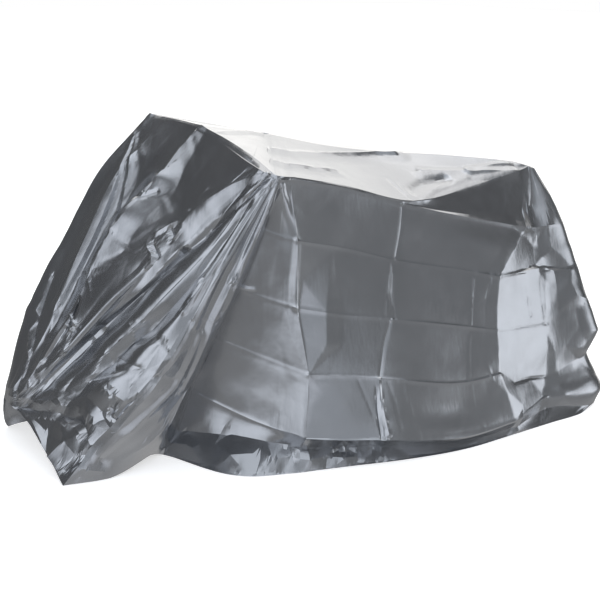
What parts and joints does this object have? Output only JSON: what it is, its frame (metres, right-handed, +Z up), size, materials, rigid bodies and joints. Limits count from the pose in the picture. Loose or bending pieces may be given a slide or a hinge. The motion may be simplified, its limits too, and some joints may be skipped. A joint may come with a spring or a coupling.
{
  "type": "motorcycle cover",
  "caption": "Thin silver-grey film cover draped to the floor over a parked, leaning motorcycle; creased sides, folds fanning from the handlebar, hollow and open below.",
  "frame": {"origin": "middle of the cover's box in plan, at floor level where the hem lies", "axes": "+X along the cover toward the tail, +Y across it away from the side it leans to, +Z up"},
  "size_m": [2.2676, 1.0608, 1.153],
  "materials": {
    "film": "satin silver-grey polyethylene film with packing creases"
  },
  "bodies": {
    "root": {"cover": "film"}
  },
  "joints": []
}
